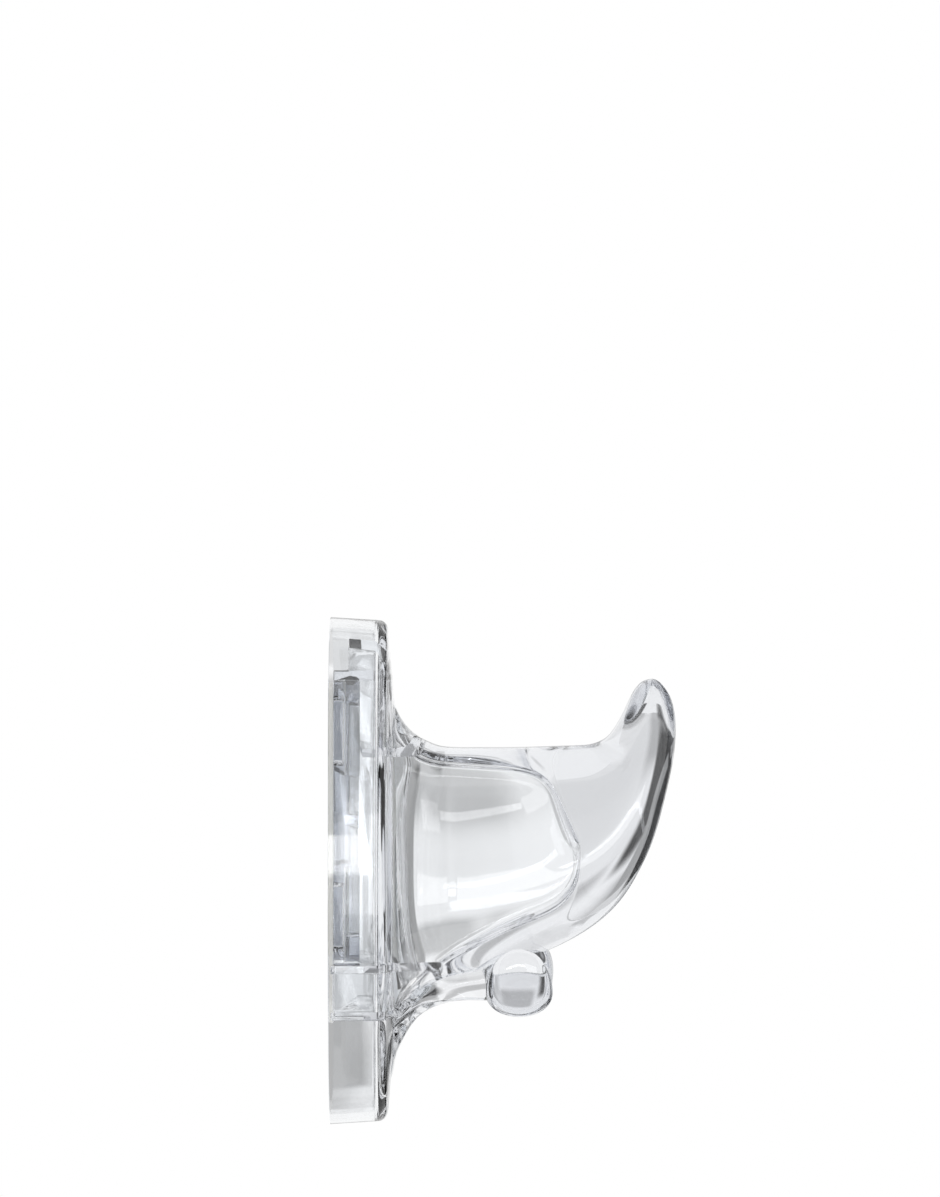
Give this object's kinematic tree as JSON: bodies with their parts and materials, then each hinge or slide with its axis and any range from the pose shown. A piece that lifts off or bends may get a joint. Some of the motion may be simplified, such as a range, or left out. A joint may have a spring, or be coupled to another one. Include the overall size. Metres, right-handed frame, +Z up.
{
  "type": "adhesive wall hook",
  "caption": "Clear adhesive wall hook: a moulded cover with a large upturned hook and a small double hook below it slides onto a strip-mounted base.",
  "frame": {"origin": "middle of the plate's height and width on the wall plane, on the wall side of the adhesive strip", "axes": "+Z up, +Y into the wall, the hook reaches along -Y, +X to the right as seen from the front"},
  "size_m": [0.05, 0.0707, 0.103],
  "materials": {
    "clear_cover": "clear moulded plastic, polished",
    "clear_base": "clear moulded plastic",
    "foam": "stretch foam film",
    "adhesive": "tacky adhesive layer",
    "film": "smooth release film"
  },
  "bodies": {
    "base": {"mounting_base": "clear_base", "strip_core": "foam", "wall_adhesive": "adhesive", "base_adhesive": "adhesive", "tab_film": "film"},
    "cover": {"hook_cover": "clear_cover"}
  },
  "joints": [
    {"name": "hook_slide", "type": "slide", "parent": "base", "child": "cover", "axis": [0, 0, 1], "range_m": [0, 0.018]}
  ]
}
